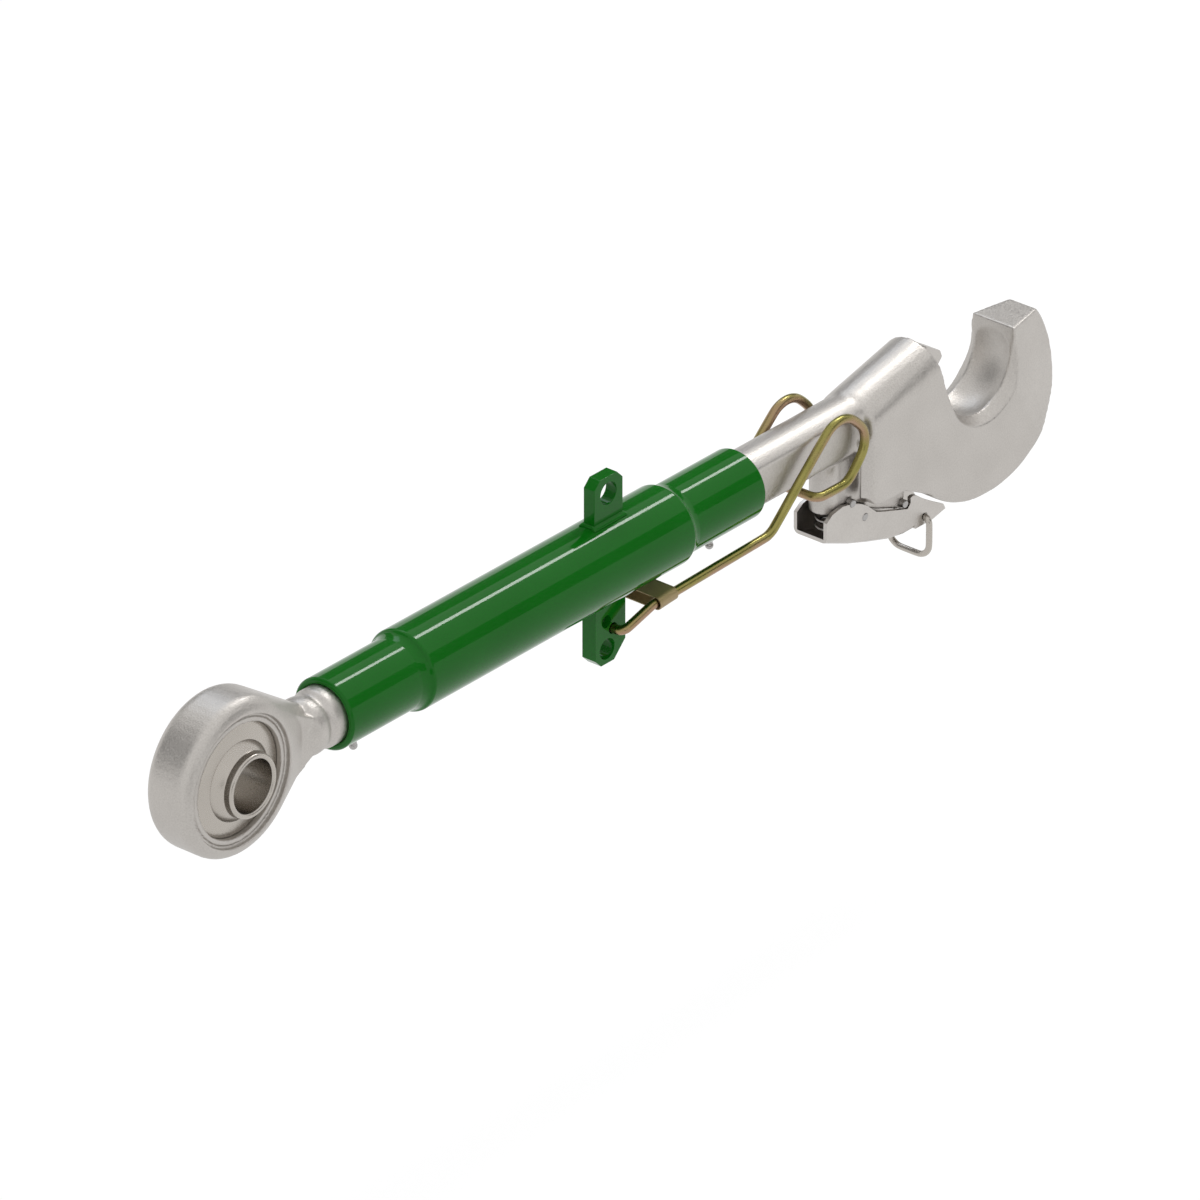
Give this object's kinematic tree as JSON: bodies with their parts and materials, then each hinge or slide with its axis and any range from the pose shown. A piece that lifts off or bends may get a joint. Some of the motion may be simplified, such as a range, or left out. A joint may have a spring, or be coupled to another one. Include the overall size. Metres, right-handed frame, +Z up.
{
  "type": "adjustable top link",
  "caption": "Adjustable three-point top link: screw barrel between a swivel ball eye and a forged quick-release hook with a sprung latch, with a wire that locks the length.",
  "frame": {"origin": "centre of the swivel ball's bore", "axes": "+X from the eye to the hook, +Y along the bore, +Z up, towards the open side of the hook"},
  "size_m": [0.7705, 0.051, 0.1644],
  "materials": {
    "green_enamel": "gloss",
    "forged_steel": "satin",
    "bright_steel": "satin",
    "plated_steel": "satin",
    "yellow_zinc": "satin"
  },
  "bodies": {
    "barrel": {"barrel_tube": "green_enamel", "eye_sleeve": "green_enamel", "hook_sleeve": "green_enamel", "upper_lug": "green_enamel", "lower_lug": "green_enamel", "lug_welds": "green_enamel", "eye_grease_nipple": "plated_steel", "hook_grease_nipple": "plated_steel"},
    "eye_end": {"eye_forging": "forged_steel", "eye_race": "bright_steel"},
    "eye_ball": {"swivel_ball": "bright_steel"},
    "hook_end": {"hook_forging": "forged_steel", "fulcrum_pin": "plated_steel", "lever_stop_pin": "plated_steel", "latch_spring": "plated_steel"},
    "latch_lever": {"latch_lever": "forged_steel", "pawl_pin": "plated_steel"},
    "latch_pawl": {"latch_pawl": "bright_steel"},
    "pull_bail": {"pull_bail": "bright_steel"},
    "lock_wire": {"lock_wire": "yellow_zinc", "wire_clip": "yellow_zinc"}
  },
  "joints": [
    {"name": "eye_screw_out", "type": "slide", "parent": "barrel", "child": "eye_end", "axis": [-1, 0, 0], "range_m": [0, 0.115]},
    {"name": "hook_screw_out", "type": "slide", "parent": "barrel", "child": "hook_end", "axis": [1, 0, 0], "range_m": [0, 0.115]},
    {"name": "eye_ball_tilt", "type": "hinge", "parent": "eye_end", "child": "eye_ball", "pos_m": [0, 0, 0], "axis": [0, 0, 1], "range_deg": [-12, 12]},
    {"name": "latch_lever_pull", "type": "hinge", "parent": "hook_end", "child": "latch_lever", "pos_m": [0.5393, 0, -0.0456], "axis": [0, 1, 0], "range_deg": [0, 32], "stiffness_Nm_per_rad": 1.2, "springref_deg": -20.05, "deforming": ["latch_spring"]},
    {"name": "latch_pawl_slide", "type": "slide", "parent": "hook_end", "child": "latch_pawl", "axis": [0.6884, 0, 0.7254], "range_m": [-0.0093, 0]},
    {"name": "pull_bail_swing", "type": "hinge", "parent": "latch_lever", "child": "pull_bail", "pos_m": [0.6063, 0, -0.0813], "axis": [0, 1, 0], "range_deg": [-80, 80]},
    {"name": "lock_wire_swing", "type": "hinge", "parent": "barrel", "child": "lock_wire", "pos_m": [0.3318, 0, -0.0446], "axis": [0, 1, 0], "range_deg": [0, 100]}
  ],
  "couplings": [
    {"joint": "hook_screw_out", "follows": "eye_screw_out", "ratio": 1},
    {"joint": "latch_pawl_slide", "follows": "latch_lever_pull", "m_per_rad": -0.01635}
  ]
}
